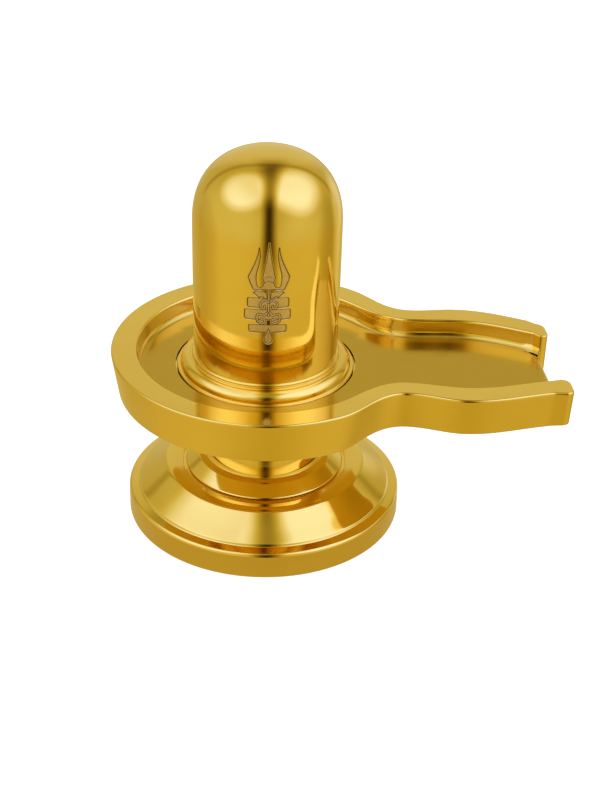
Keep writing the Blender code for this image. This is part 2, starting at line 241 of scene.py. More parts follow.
# %% The room that the brass reflects
# Azimuth, elevation, the angle that the light fills, the angle where it ends, its brightness
LIGHTS = [
    (74, 54, 18, 51, 0.45),
    (47, 30, 10, 44, 0.05),
    (-64, 57, 20, 44, 0.36),
    (-61, -2, 10, 78, 0.14),
    (55, -17, 2, 54, 0.12),
    (109, -17, 1, 32, -0.10),
    (-104, -16, 3, 29, -0.08),
    (136, -11, 10, 24, 0.18),
    (180, 20, 15, 36, 0.11),
]
ROOM_LEVEL = 0.465
ROOM_STRENGTH = 4.0
# The dark gap: where it lies, its soft edge, how dark it is, and where it thins out and ends
GAP_PLACE, GAP_EDGE, GAP_SHADE = 0.045, (0.01, 0.26), 0.95
GAP_THINS, OVERHEAD, GAP_FOOT, GAP_BACK = 0.24, (0.5, 0.9), (-0.66, -0.5), (0.45, 0.88)
SEAM_PLACE, SEAM_EDGE, SEAM_FOOT, SEAM_SHADE = 0.6, (0.005, 0.085), (-0.1, 0.15), 0.28
GOLD_RAMP = [
    (0.000, (0.0025, 0.002, 0.000)),
    (0.152, (0.0475, 0.0325, 0.009)),
    (0.432, (0.135, 0.109, 0.034)),
    (0.616, (0.1925, 0.170, 0.100)),
    (0.704, (0.220, 0.214, 0.225)),
    (0.816, (0.255, 0.2475, 0.370)),
    (0.912, (0.285, 0.3125, 0.580)),
    (1.000, (0.3125, 0.3550, 0.820)),
]
LOW_TINT, LOW_EDGE = (1.02, 0.91, 0.52), (-0.5, -0.1)
# Blender counts 2 at the first reflection of the room and 3 at the second
SECOND_LIFT, SECOND_BOUNCE, LIFT_FOOT = 0.15, (2.2, 2.8), (-0.1, 0.2)

room = bpy.data.worlds.new("studio")
room.use_nodes = True
room.node_tree.nodes.clear()
sheet = Sheet(room.node_tree)
view = sheet.node("ShaderNodeTexCoord", output="Generated")
across = sheet.along(view, SIDE)
behind = 0 - sheet.along(view, FRONT)
height = sheet.along(view, UP)

light = ROOM_LEVEL
for azimuth, elevation, inner, outer, strength in LIGHTS:
    light = light + strength * glow(sheet, view, azimuth, elevation, inner, outer)
gap = 1 - (across - GAP_PLACE).size().rise(*GAP_EDGE)
darkness = (GAP_SHADE - GAP_THINS * height.rise(*OVERHEAD)) * height.rise(*GAP_FOOT)
darkness = darkness * (1 - behind.rise(*GAP_BACK))
seam = (1 - (behind - SEAM_PLACE).size().rise(*SEAM_EDGE)) * height.rise(*SEAM_FOOT)
light = light * (1 - gap * darkness) * (1 - SEAM_SHADE * seam)
tint = sheet.node("ShaderNodeValToRGB", {"stops": GOLD_RAMP}, {"Fac": light})
low = 1 - height.rise(*LOW_EDGE)
tint = sheet.mix(low, tint, sheet.stretched(tint, LOW_TINT))
bounces = sheet.node("ShaderNodeLightPath", output="Ray Depth")
again = bounces.rise(*SECOND_BOUNCE) * height.rise(*LIFT_FOOT)
tint = sheet.node("ShaderNodeVectorMath", {"operation": "SCALE"},
                  {0: tint, "Scale": 1 + SECOND_LIFT * again})
brass_light = sheet.node("ShaderNodeBackground", {}, {"Color": tint, "Strength": ROOM_STRENGTH})
plain_light = sheet.node("ShaderNodeBackground", {}, {"Color": (1, 1, 1, 1), "Strength": 1.0})
seen = sheet.node("ShaderNodeLightPath", output="Is Camera Ray")
room_light = sheet.node("ShaderNodeMixShader", {}, {0: seen, 1: brass_light, 2: plain_light})
sheet.node("ShaderNodeOutputWorld", {}, {"Surface": room_light})
bpy.context.scene.world = room
print("room:", len(LIGHTS), "patches of light and shade, and", len(room.node_tree.nodes), "nodes")

# %% [markdown]
# ## The floor
# The real picture was taken on a white table under so much light that the table vanished. A wide
# white disc gives the same. It glows a little by itself, so that it stays white right up to the
# foot and keeps only a trace of shade there. The polished metal does not mirror it, because the
# lower half of the room already stands for it. Only the part right round the foot is a sheet of
# its own that the metal sees. It glows by itself with painted light: the dim warm tone of the
# table where the dish shades it and the brass throws its own warm light on it.

# %% Floor
DISC_SIDES = 96
TABLE_REACH = 2000.0
TABLE_GREY = (0.4, 0.4, 0.4, 1.0)
TABLE_GLOW = 0.93
PAPER_REACH = 41.0
PAPER_HEIGHT = -0.05
# The paper's glow is painted light: the table's warm bounce from the brass, dimmed by the dish's
# painted shade
PAINTED_PAPER_GLOW = (0.56, 0.41, 0.13, 1.0)


def disc(name, reach, height, material):
    """A flat round sheet. Its reach and its height are in millimetres."""
    turns = [TAU * i / DISC_SIDES for i in range(DISC_SIDES)]
    mesh = bpy.data.meshes.new(name)
    mesh.from_pydata([(reach * MM * math.cos(a), reach * MM * math.sin(a), height * MM)
                      for a in turns], [], [list(range(DISC_SIDES))])
    mesh.materials.append(material)
    made = bpy.data.objects.new(name, mesh)
    bpy.context.scene.collection.objects.link(made)
    return made


white, sheet = blank("white_table")
cloth = sheet.node("ShaderNodeBsdfPrincipled", {}, {
    "Base Color": TABLE_GREY, "Roughness": 0.9, "Specular IOR Level": 0.0,
    "Emission Color": (1.0, 1.0, 1.0, 1.0), "Emission Strength": TABLE_GLOW})
sheet.node("ShaderNodeOutputMaterial", {}, {"Surface": cloth})
table = disc("table", TABLE_REACH, 0.0, white)
table.visible_glossy = False
table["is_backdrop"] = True

warm, sheet = blank("lit_paper")
# Painted light: the sheet glows with the shaded, warm tone of the table round the foot
paper_light = sheet.node("ShaderNodeEmission", {}, {"Color": PAINTED_PAPER_GLOW, "Strength": 1.0})
sheet.node("ShaderNodeOutputMaterial", {}, {"Surface": paper_light})
paper = disc("paper", PAPER_REACH, PAPER_HEIGHT, warm)
paper.visible_camera = False
paper.visible_diffuse = False
paper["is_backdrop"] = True
print("table and paper reach", TABLE_REACH, "and", PAPER_REACH, "mm")

# %% [markdown]
# ## Curves and skins
# Everything here is either turned on a lathe or run along an outline, so every surface is a grid:
# rows down a section, columns round the piece. The class below lays such grids and works out the
# direction that each point faces. On a mirror finish those directions matter more than the
# points, because a reflection shows a tilt of half a degree. Two points are one where both their
# place and their direction agree, so soft joints are welded and crisp creases stay crisp.

# %% Curves
SPAN_PULL = 1.1
EASE_STEPS = 6


def arc(centre, radius, start, end, steps):
    """Points round a centre, from one angle to another in degrees."""
    angles = np.radians(np.linspace(start, end, steps + 1))
    return [(centre[0] + radius * np.cos(a), centre[1] + radius * np.sin(a)) for a in angles]


def bend(start, corner, end, steps):
    """Points of a smooth bend that heads for a corner and then away from it, both ends kept."""
    start, corner, end = (np.array(p, float) for p in (start, corner, end))
    t = np.linspace(0, 1, steps + 1)[:, None]
    return start * (1 - t) ** 2 + corner * 2 * t * (1 - t) + end * t ** 2


def span(start, end, leave, arrive, steps):
    """Points from start up to but without end, along a curve with the two directions given."""
    start, end, leave, arrive = (np.array(p, float) for p in (start, end, leave, arrive))
    pull = SPAN_PULL * np.linalg.norm(end - start)
    leave, arrive = leave * pull / np.linalg.norm(leave), arrive * pull / np.linalg.norm(arrive)
    t = np.arange(steps)[:, None] / steps
    return (start * (1 - 3 * t ** 2 + 2 * t ** 3) + leave * (t - 2 * t ** 2 + t ** 3)
            + end * (3 * t ** 2 - 2 * t ** 3) + arrive * (t ** 3 - t ** 2))


def softened(corners):
    """A chain of (x, y, radius) corners, each eased over its radius along both of its legs."""
    spots = [np.array(c[:2], float) for c in corners]
    chain = [spots[0]]
    for before, spot, after, corner in zip(spots, spots[1:], spots[2:], corners[1:]):
        if corner[2] == 0:
            chain.append(spot)
            continue
        towards_before = (before - spot) / np.linalg.norm(before - spot) * corner[2]
        towards_after = (after - spot) / np.linalg.norm(after - spot) * corner[2]
        chain.extend(bend(spot + towards_before, spot, spot + towards_after, EASE_STEPS))
    return chain + [spots[-1]]


print("a quarter turn in two steps:", np.round(arc((0, 0), 1, 0, 90, 2), 2).tolist())


# %% Skins
def unit(vectors):
    """Vectors of length one, and straight up where there is no length."""
    length = np.linalg.norm(vectors, axis=-1, keepdims=True)
    return np.where(length > 1e-9, vectors / np.maximum(length, 1e-9), (0.0, 0.0, 1.0))


def ways_on(places):
    """The way on at each place of a run, taken over both its neighbours."""
    return np.concatenate([places[1:2] - places[:1], places[2:] - places[:-2],
                           places[-1:] - places[-2:-1]])


def inside(loop, spots):
    """Which spots lie within a closed loop of plan points."""
    x, y = spots[:, 0, None], spots[:, 1, None]
    ahead = np.roll(loop, -1, axis=0)
    crosses = (loop[:, 1] > y) != (ahead[:, 1] > y)
    rise = np.where(ahead[:, 1] == loop[:, 1], 1e-12, ahead[:, 1] - loop[:, 1])
    where = loop[:, 0] + (y - loop[:, 1]) * (ahead[:, 0] - loop[:, 0]) / rise
    return (crosses & (x < where)).sum(axis=1) % 2 == 1


class Skin:
    """The surface of one piece, gathered in millimetres."""

    def __init__(self):
        self.index = {}
        self.places = []
        self.facing = []
        self.marks = []
        self.faces = []

    def point(self, place, facing, mark):
        """The number of a point, which is new only if none agrees with it."""
        key = (*(round(float(v), 3) for v in place), *(round(float(v), 1) for v in facing))
        if key not in self.index:
            self.index[key] = len(self.places)
            self.places.append(place)
            self.facing.append(facing)
            self.marks.append(mark)
        return self.index[key]

    def grid(self, places, facing=None, marks=None, closed=False, flip=False, first=None,
             last=None):
        """Faces over rows of points. The first and last rows may be told which way they face."""
        places = np.array(places, float)
        rows, columns = places.shape[:2]
        if facing is None:
            if closed:
                along = np.roll(places, -1, axis=1) - np.roll(places, 1, axis=1)
            else:
                along = ways_on(places.swapaxes(0, 1)).swapaxes(0, 1)
            facing = unit(np.cross(ways_on(places), along)) * (-1 if flip else 1)
            if first is not None:
                facing[0] = first
            if last is not None:
                facing[-1] = last
        if marks is None:
            marks = np.zeros((rows, columns, 3))
        number = [[self.point(places[r, c], facing[r, c], marks[r, c]) for c in range(columns)]
                  for r in range(rows)]
        for r in range(rows - 1):
            for c in range(columns if closed else columns - 1):
                after = (c + 1) % columns
                face = [number[r][c], number[r + 1][c], number[r + 1][after], number[r][after]]
                self.face(face[::-1] if flip else face)

    def face(self, numbers):
        """One face, without the corners that coincide."""
        kept = [n for n, before in zip(numbers, numbers[-1:] + numbers[:-1]) if n != before]
        if len(kept) > 2:
            self.faces.append(kept)

    def plate(self, loops, height, up=1, mark=(0, 0, 0)):
        """A flat face at a height, inside the first loop and outside the others."""
        spots = np.concatenate(loops)
        edges, start = [], 0
        for loop in loops:
            size = len(loop)
            edges += [(start + i, start + (i + 1) % size) for i in range(size)]
            start += size
        corners = [Vector(p) for p in spots]
        flat, _, triangles, _, _, _ = delaunay_2d_cdt(corners, edges, [], 0, 1e-6)
        middles = np.array([sum((flat[i] for i in t), Vector((0, 0))) / len(t) for t in triangles])
        kept = inside(loops[0], middles)
        for hole in loops[1:]:
            kept &= ~inside(hole, middles)
        for triangle, keep in zip(triangles, kept):
            if keep:
                numbers = [self.point((flat[i].x, flat[i].y, height), (0, 0, up), mark)
                           for i in triangle]
                area = (flat[triangle[1]] - flat[triangle[0]]).cross(
                    flat[triangle[2]] - flat[triangle[0]])
                self.face(numbers if area * up > 0 else numbers[::-1])

    def piece(self, name):
        """The finished object, with its facing directions and its marks."""
        mesh = bpy.data.meshes.new(name)
        mesh.from_pydata((np.array(self.places) * MM).tolist(), [], self.faces)
        for place, label in enumerate(("etched", "line", "satin")):
            layer = mesh.attributes.new(label, "FLOAT", "POINT")
            layer.data.foreach_set("value", np.array(self.marks, float)[:, place])
        mesh.shade_smooth()
        mesh.normals_split_custom_set_from_vertices(np.array(self.facing).tolist())
        made = bpy.data.objects.new(name, mesh)
        bpy.context.scene.collection.objects.link(made)
        print(name, "has", sum(len(f) - 2 for f in self.faces), "triangles")
        return made


print("an empty skin has", len(Skin().places), "points")


# %% Turned forms
def ring(radius, height, turns):
    """A row of points round the shaft's axis."""
    return [(radius * math.cos(a), radius * math.sin(a), height) for a in turns]


def turned(skin, profile, turns, flip=False):
    """Spins a (radius, height) outline, which runs from the top down, round the axis."""
    skin.grid([ring(radius, height, turns) for radius, height in profile], closed=True, flip=flip)


def stands_for(piece, node, finish):
    """Puts a finished piece in the place of its solid."""
    piece.data.materials.append(finish)
    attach(piece, "root")
    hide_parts(node)


print("a ring of four turns:", np.round(ring(1, 0, (0, 1.57, 3.14, 4.71)), 1).tolist())

# %% [markdown]
# ## Brass
# Lacquered, machine-polished brass: a metal with a deep yellow body under a thin clear coat. Its
# mirror is never perfect. The buffing wheel leaves a broad, lazy waviness and faint hairlines
# that run round the turned forms, and handling leaves cloudy patches where it is a touch rougher.
# All of it comes from noise in the piece's own space, so it stays on the metal from every side.
# The etched ground, the dark outlines and the satin floor lie where the mesh's points are marked.

# %% Brass finishes
POLISHED = (0.87, 0.64, 0.105)
REDDER = (0.84, 0.60, 0.085)
ETCHED = (0.88, 0.67, 0.27)
ETCHED_DIM = (0.78, 0.58, 0.22)
BURNT = (0.11, 0.06, 0.010)
BRUSHED = (0.60, 0.415, 0.055)

# Patches to a metre, and how much rougher some of them are
CLOUDS, SMUDGES, WAVES, GRAIN = 60.0, 190.0, 85.0, 2600.0
HAIRLINES = (150.0, 150.0, 9000.0)
SMUDGE_ROUGH, SATIN_ROUGH, ETCHED_ROUGH, LINE_ROUGH = 0.05, 0.09, 0.5, 0.55
GRAIN_HEIGHT = 0.0125
COAT_ROUGH, COAT_IOR = 0.03, 1.5


def brass(name, sheen, wave, hairlines):
    """A brass finish: how rough it is, and how high its waves and hairlines stand in mm."""
    material, sheet = blank(name)
    spot = sheet.node("ShaderNodeTexCoord", output="Object")
    clouds = sheet.noise(spot, CLOUDS, 3.0)
    smudges = sheet.noise(spot, SMUDGES, 4.0, 0.6)
    colour = sheet.mix(clouds.rise(0.35, 0.7), POLISHED, REDDER)
    rough = sheen + SMUDGE_ROUGH * smudges.rise(0.45, 0.75)
    lazy = sheet.noise(spot, WAVES, 1.0, 0.3)
    fine = sheet.noise(sheet.stretched(spot, HAIRLINES), 1.0)
    relief = wave * lazy + hairlines * fine
    satin = sheet.node("ShaderNodeAttribute", {"attribute_name": "satin"}, output="Fac")
    colour = sheet.mix(satin, colour, BRUSHED)
    rough = rough + SATIN_ROUGH * satin
    etched = sheet.node("ShaderNodeAttribute", {"attribute_name": "etched"}, output="Fac")
    line = sheet.node("ShaderNodeAttribute", {"attribute_name": "line"}, output="Fac")
    grain = sheet.noise(spot, GRAIN)
    matte = sheet.mix(grain.rise(0.3, 0.7), ETCHED, ETCHED_DIM)
    colour = sheet.mix(etched, colour, matte)
    colour = sheet.mix(line, colour, BURNT)
    rough = (rough * (1 - etched) + ETCHED_ROUGH * etched).larger(line * LINE_ROUGH)
    relief = relief + etched * grain * GRAIN_HEIGHT
    bump = sheet.node("ShaderNodeBump", {}, {"Height": relief * MM, "Strength": 1.0,
                                             "Distance": 1.0})
    shader = sheet.node("ShaderNodeBsdfPrincipled", {}, {
        "Base Color": colour, "Roughness": rough, "Metallic": 1.0, "Normal": bump,
        "Coat Weight": 1.0 - etched.larger(line).larger(satin), "Coat Roughness": COAT_ROUGH,
        "Coat IOR": COAT_IOR})
    sheet.node("ShaderNodeOutputMaterial", {}, {"Surface": shader})
    return material


shaft_finish = brass("buffed_shaft_brass", 0.07, 0.010, 0.0004)
dish_finish = brass("buffed_dish_brass", 0.09, 0.012, 0.0004)
pedestal_finish = brass("buffed_pedestal_brass", 0.08, 0.010, 0.0004)
print("finishes:", [m.name for m in (shaft_finish, dish_finish, pedestal_finish)])

# %% [markdown]
# ## The pedestal
# Waist, ring and base are one turned piece. Its outline is a chain of curves and corners. Each
# corner says how far it is eased, because on polished brass the eye reads the edges first: every
# one shows as a thin bright line beside a dark one.

# %% Pedestal
PEDESTAL_TURNS = [TAU * i / 256 for i in range(256)]
WAIST_TOP = 31.4

waist = [(0.0, WAIST_TOP), (15.9, WAIST_TOP), (16.0, 31.3)]
waist += list(span((16.0, 30.9), (13.4, 25.6), (-1.0, -0.6), (0.0, -1.0), 14))
waist += softened([(13.4, 25.6, 0), (13.4, 14.8, 0.4), (14.3, 14.55, 0.3), (15.0, 14.45, 0)])[:-1]
ring_face = softened([(14.6, 14.5, 0), (15.0, 14.4, 0.2), (17.5, 12.15, 0.15),
                      (17.6, 11.95, 0)])[:-1]
groove = softened([(17.6, 11.95, 0), (17.65, 11.3, 0.12), (18.3, 11.3, 0.12),
                   (18.45, 12.05, 0.12), (19.0, 12.05, 0)])[:-1]
crown = list(span((18.7, 12.05), (21.5, 12.15), (1.0, 0.08), (1.0, -0.08), 8))
crown += list(span((21.5, 12.15), (22.6, 11.68), (1.0, -0.08), (1.0, -0.93), 10))
crown += list(span((22.6, 11.68), (25.0, 9.56), (1.0, -0.93), (1.0, -0.84), 10))
crown += list(span((25.0, 9.56), (27.8, 7.45), (1.0, -0.84), (1.0, -0.72), 12))
band = softened([(27.8, 7.45, 0), (28.1, 7.22, 0.15), (28.4, 6.7, 0.2), (30.2, 6.2, 0.2),
                 (30.6, 5.8, 0.35), (30.6, 0.4, 0.3), (30.2, 0.0, 0.25), (0.0, 0.0, 0)])
pedestal_outline = waist + ring_face + groove + crown + band

pedestal_skin = Skin()
turned(pedestal_skin, pedestal_outline, PEDESTAL_TURNS)
pedestal = pedestal_skin.piece("turned_pedestal")
stands_for(pedestal, "pedestal", pedestal_finish)

# %% [markdown]
# ## The shaft
# The shaft is a turned column that closes in a dome a little fuller than half a ball. It could
# be one lathe shape, but its front carries an etched emblem with lines a sixth of a millimetre
# wide. So the column is laid as a lattice of cells, and only the cells under the emblem are cut
# finer, eight by eight. The cells round that patch get the extra corners of their neighbours, so
# nothing gapes.

# %% Shaft form
SHAFT_RADIUS = 16.0
SHAFT_TAPER = 0.25
TAPER_POWER = 1.4
SHOULDER = 71.0
MOULDING_TOP = 40.1
DOME_POWER = 2.38
EMBLEM_FACES = math.radians(-90.0 + 4.6)
EMBLEM_FOOT = 50.0

COLUMNS = 160
FINER = 8
PATCH_COLUMNS = 19
PATCH_ROWS = 39
CELL_TURN = TAU / COLUMNS
CELL_HEIGHT = 0.63
PATCH_FOOT = EMBLEM_FOOT - 0.6
PATCH_TOP = PATCH_FOOT + PATCH_ROWS * CELL_HEIGHT
DOME_ROWS = 41


def past_shoulder(height):
    """How far down the column and how far up the dome a height lies, each from 0 to 1."""
    return (np.clip((SHOULDER - height) / (SHOULDER - MOULDING_TOP), 0, 1),
            np.clip((height - SHOULDER) / SHAFT_RADIUS, 0, 1))


def shaft_radius(height):
    """The shaft's radius at a height, dome and all."""
    drop, climb = past_shoulder(height)
    return (SHAFT_RADIUS * (1 - climb ** DOME_POWER) ** (1 / DOME_POWER)
            - SHAFT_TAPER * drop ** TAPER_POWER)


def shaft_facing(turn, height):
    """The direction that the smooth shaft faces."""
    drop, climb = past_shoulder(height)
    out = (1 - climb ** DOME_POWER) ** ((DOME_POWER - 1) / DOME_POWER)
    up = climb ** (DOME_POWER - 1)
    up = up - (TAPER_POWER * SHAFT_TAPER * drop ** (TAPER_POWER - 1)
               / (SHOULDER - MOULDING_TOP))
    turn, out, up = np.broadcast_arrays(turn, out, up)
    return unit(np.stack([out * np.cos(turn), out * np.sin(turn), up], axis=-1))


def on_shaft(turn, height):
    """Points of the smooth shaft."""
    radius = shaft_radius(height)
    turn, radius, height = np.broadcast_arrays(turn, radius, height)
    return np.stack([radius * np.cos(turn), radius * np.sin(turn), height], axis=-1)


first_angle = math.asin(((PATCH_TOP - SHOULDER) / SHAFT_RADIUS) ** (DOME_POWER / 2))
dome_angles = np.linspace(math.pi / 2, first_angle, DOME_ROWS + 1)
heights = list(SHOULDER + SHAFT_RADIUS * np.sin(dome_angles) ** (2 / DOME_POWER))
heights += [PATCH_TOP - CELL_HEIGHT * i for i in range(1, PATCH_ROWS + 1)]
below = round((heights[-1] - MOULDING_TOP) / CELL_HEIGHT)
heights += list(np.linspace(heights[-1], MOULDING_TOP, below + 1)[1:])
patch_rows = range(DOME_ROWS, DOME_ROWS + PATCH_ROWS)
print("lattice:", len(heights) - 1, "rows of", COLUMNS, "cells")

# %% [markdown]
# ## Drawing the emblem
# A trident stands over three bars, and two small pairs of scrolls sit on them. The etcher works
# from the back to the front: each form hides the outlines of the forms behind it. The same is
# done here with distances. For every point of the fine patch the distance to a form's edge says
# whether the acid has eaten there, which sinks the ground a tenth of a millimetre and leaves it
# matte, or whether the point lies in the dark outline. First come the forms, in millimetres
# across and up from the emblem's foot.

# %% Emblem forms
# Left, right, low and high
BARS = [(-4.46, 4.25, 8.54, 10.78), (-5.05, 4.6, 5.7, 8.04), (-4.17, 3.8, 2.7, 4.45)]
BAR_EASE = 0.45


def through(points, steps=6):
    """A smooth curve through drawn points."""
    points = np.array([points[0], *points, points[-1]], float)
    curve = []
    t = np.arange(steps)[:, None] / steps
    for a, b, c, d in zip(points, points[1:], points[2:], points[3:]):
        curve.append(0.5 * (2 * b + (c - a) * t + (2 * a - 5 * b + 4 * c - d) * t ** 2
                            + (3 * b - a - 3 * c + d) * t ** 3))
    return np.concatenate([*curve, points[-1:]])


def both_halves(*chains):
    """A closed outline from the chains of its right half, listed from its top down."""
    half = np.concatenate([through(chain)[:-1] for chain in chains] + [chains[-1][-1:]])
    return np.concatenate([half, half[::-1] * (-1, 1)])


def rounded_bar(left, right, low, high):
    """A bar with eased corners."""
    left, right, low, high = left + BAR_EASE, right - BAR_EASE, low + BAR_EASE, high - BAR_EASE
    corners = [(right, high), (left, high), (left, low), (right, low)]
    return np.concatenate([arc(corner, BAR_EASE, start, start + 90, 5)
                           for corner, start in zip(corners, (0, 90, 180, 270))])


trident = both_halves(
    [(0.0, 23.5), (0.25, 21.5), (0.6, 19.2), (1.0, 17.2), (1.33, 15.45)],
    [(1.33, 15.45), (1.15, 14.9), (0.99, 14.37), (1.22, 13.75), (1.45, 13.37), (2.06, 13.2),
     (2.5, 13.8), (2.7, 15.3), (2.59, 16.6), (2.21, 18.1), (1.83, 20.6), (2.06, 22.44)],
    [(2.06, 22.44), (2.29, 20.95), (2.9, 18.95), (4.34, 15.6)],
    [(4.34, 15.6), (3.9, 14.2), (3.35, 12.95)],
    [(3.35, 12.95), (3.05, 12.6), (1.5, 12.75), (0.0, 12.7)])
wing = through([(3.2, 11.95), (2.67, 12.37), (1.3, 12.28), (0.53, 11.95), (0.46, 10.62),
                (1.45, 11.12), (2.06, 10.95), (2.82, 11.62), (3.2, 11.95)], 4)[:-1]
bud_form = both_halves([(0.0, 3.6), (0.35, 2.6), (0.8, 1.5), (0.82, 0.75), (0.5, 0.2), (0.0, 0.0)])
hook = through([(0.0, 9.75), (0.55, 10.15), (1.3, 10.05), (1.8, 9.3), (1.55, 8.45), (0.95, 8.3),
                (0.85, 8.95)], 8)
curl = through([(0.3, 7.35), (0.8, 6.75), (1.5, 6.85), (2.2, 6.9), (2.45, 6.1), (2.1, 5.1),
                (1.35, 4.75), (0.75, 5.15), (1.0, 5.8), (1.55, 5.75)], 8)
stem = np.array([(0.0, 13.6), (0.0, 6.6)])
rib = np.array([(0.0, 2.6), (0.0, 0.9)])
collars = [through([(-0.95, 15.35), (0.0, 15.75), (0.95, 15.35)]),
           through([(-0.8, 14.35), (0.0, 14.7), (0.8, 14.35)])]
print("emblem:", round(float(trident[:, 1].max() - bud_form[:, 1].min()), 1), "mm high")

# %% [markdown]
# The emblem is then laid on a fine grid of points. Forms that are etched later cover the earlier
# ones, just as the front of a drawing hides what is behind it.

# %% Etching
LINE_HALF = 0.075
STEM_HALF, CURL_HALF, RIB_HALF, COLLAR_HALF = 0.22, 0.24, 0.07, 0.06


def to_line(line, spots, closed):
    """The distance from each spot to a drawn line."""
    ends = np.roll(line, -1, axis=0) if closed else line[1:]
    nearest = np.full(len(spots), np.inf)
    for start, end in zip(line, ends):
        leg = end - start
        share = np.clip((spots - start) @ leg / max(leg @ leg, 1e-12), 0, 1)
        gap = spots - start - share[:, None] * leg
        nearest = np.minimum(nearest, np.hypot(gap[:, 0], gap[:, 1]))
    return nearest


def soft_step(values, low, high):
    """0 up to low, 1 from high on, and a soft step between."""
    share = np.clip((values - low) / (high - low), 0, 1)
    return share * share * (3 - 2 * share)


patch_turns = EMBLEM_FACES + (np.arange(PATCH_COLUMNS * FINER + 1) / FINER
                              - PATCH_COLUMNS / 2) * CELL_TURN
patch_heights = PATCH_TOP - np.arange(PATCH_ROWS * FINER + 1) / FINER * CELL_HEIGHT
patch_turn, patch_height = np.meshgrid(patch_turns, patch_heights)
spots = np.stack([SHAFT_RADIUS * np.sin(patch_turn - EMBLEM_FACES).ravel(),
                  (patch_height - EMBLEM_FOOT).ravel()], axis=1)
etched, line = np.zeros(len(spots)), np.zeros(len(spots))


def etch(edge_gap):
    """Etches a form, from signed gaps to its edge that are below 0 inside it."""
    global etched, line
    covered = edge_gap < 0
    drawn = 1 - soft_step(abs(edge_gap), LINE_HALF * 0.45, LINE_HALF * 1.5)
    etched = np.where(covered, 1.0, np.maximum(etched, 1 - soft_step(edge_gap, 0.0, 0.1)))
    line = np.where(covered, drawn, np.maximum(line, drawn))


def form(outline):
    """The signed gaps to the edge of a closed form."""
    gap = to_line(outline, spots, True)
    return np.where(inside(outline, spots), -gap, gap)


def band_form(path, half_width):
    """The signed gaps to the edge of a drawn band."""
    return to_line(path, spots, False) - half_width


def groove_line(path, half_width):
    """A dark line alone."""
    global line
    gap = to_line(path, spots, False)
    line = np.maximum(line, 1 - soft_step(gap, half_width * 0.5, half_width * 1.5))


for bar in BARS:
    etch(form(rounded_bar(*bar)))
for side in (1, -1):
    etch(form(wing * (side, 1)))
etch(band_form(stem, STEM_HALF))
for side in (1, -1):
    etch(band_form(hook * (side, 1), STEM_HALF))
    etch(band_form(curl * (side, 1), CURL_HALF))
etch(form(trident))
etch(form(bud_form))
groove_line(rib, RIB_HALF)
for collar in collars:
    groove_line(collar, COLLAR_HALF)
print("etched share of the patch:", round(float(etched.mean()), 3))

# %% [markdown]
# Where the emblem is sunk, its slopes tilt the direction that each point faces, so even a step of
# a tenth of a millimetre catches the light. Then the plain cells are laid round the fine patch.

# %% Shaft mesh
ETCH_DEPTH, LINE_DEPTH = 0.10, 0.12
depth = (ETCH_DEPTH * etched + LINE_DEPTH * line).reshape(patch_turn.shape)
patch_facing = shaft_facing(patch_turn, patch_height)
round_ways = np.stack([-np.sin(patch_turn), np.cos(patch_turn), 0 * patch_turn], axis=-1)
up_ways = unit(np.cross(patch_facing, round_ways))
steps_round = SHAFT_RADIUS * CELL_TURN / FINER
lean_up, lean_round = np.gradient(depth, -CELL_HEIGHT / FINER, steps_round)
patch_places = on_shaft(patch_turn, patch_height) - patch_facing * depth[..., None]
patch_facing = unit(patch_facing + lean_round[..., None] * round_ways
                    + lean_up[..., None] * up_ways)
patch_marks = np.stack([etched, line, 0 * line], axis=-1).reshape(*depth.shape, 3)

shaft_skin = Skin()
shaft_skin.grid(patch_places, patch_facing, patch_marks)


def lattice_point(row, column):
    """A point of the lattice; parts of a row or column are allowed."""
    low, high = heights[math.floor(row)], heights[math.ceil(row)]
    height = low + (high - low) * (row - math.floor(row))
    turn = EMBLEM_FACES + (column - PATCH_COLUMNS / 2) * CELL_TURN
    return shaft_skin.point(on_shaft(turn, height), shaft_facing(turn, height), (0, 0, 0))


def cell_corners(row, column):
    """The corners of one cell, with those of the fine patch next to it."""
    fine = [i / FINER for i in range(FINER)]
    beside = row in patch_rows
    over = 0 <= column < PATCH_COLUMNS
    left = fine if beside and column == PATCH_COLUMNS else [0]
    below = fine if over and row + 1 == patch_rows[0] else [0]
    right = fine if beside and column == COLUMNS - 1 else [0]
    above = fine if over and row == patch_rows[-1] + 1 else [0]
    return ([(row + f, column) for f in left] + [(row + 1, column + f) for f in below]
            + [(row + 1 - f, column + 1) for f in right] + [(row, column + 1 - f) for f in above])


for row in range(len(heights) - 1):
    for column in range(COLUMNS):
        if row in patch_rows and column < PATCH_COLUMNS:
            continue
        shaft_skin.face([lattice_point(*spot) for spot in cell_corners(row, column)])
print("column and dome:", len(shaft_skin.places), "points")

# %% [markdown]
# ## The shaft's foot
# A fine bead, a fat torus and a thin ledge lie round the foot like rings on a finger. Each is
# spun by itself, which keeps the creases between them crisp.

# %% Foot moulding
SHAFT_TURNS = [EMBLEM_FACES + (c - PATCH_COLUMNS / 2) * CELL_TURN for c in range(COLUMNS)]

bead = [(15.75, 40.1), (15.85, 40.09)] + arc((15.75, 39.65), 0.45, 68, -35, 10)
neck = softened([(16.12, 39.39, 0), (16.12, 39.05, 0.1), (16.5, 39.0, 0)])
torus = arc((16.7, 36.9), 2.1, 95, 0, 22)
ledge = softened([(18.8, 36.9, 0), (19.3, 36.88, 0.15), (19.45, 36.7, 0.12), (19.5, 36.4, 0)])
shaft_foot = [(19.5, 36.4), (10.0, 36.4), (0.0, 36.4)]
for profile in (bead, neck, torus, ledge, shaft_foot):
    turned(shaft_skin, profile, SHAFT_TURNS)
shaft = shaft_skin.piece("domed_shaft")
stands_for(shaft, "lingam", shaft_finish)

# %% [markdown]
# ## The dish
# The dish is cast, filed and buffed: a thick plate with a basin, and a spout that leaves the
# round in one easy curve, narrows at a neck, swells again and ends between two horns. Its two
# outlines are the same curves as the solid's, drawn finer. A wall then runs along each outline,
# from the rim down, and the flat faces are stretched between the walls.

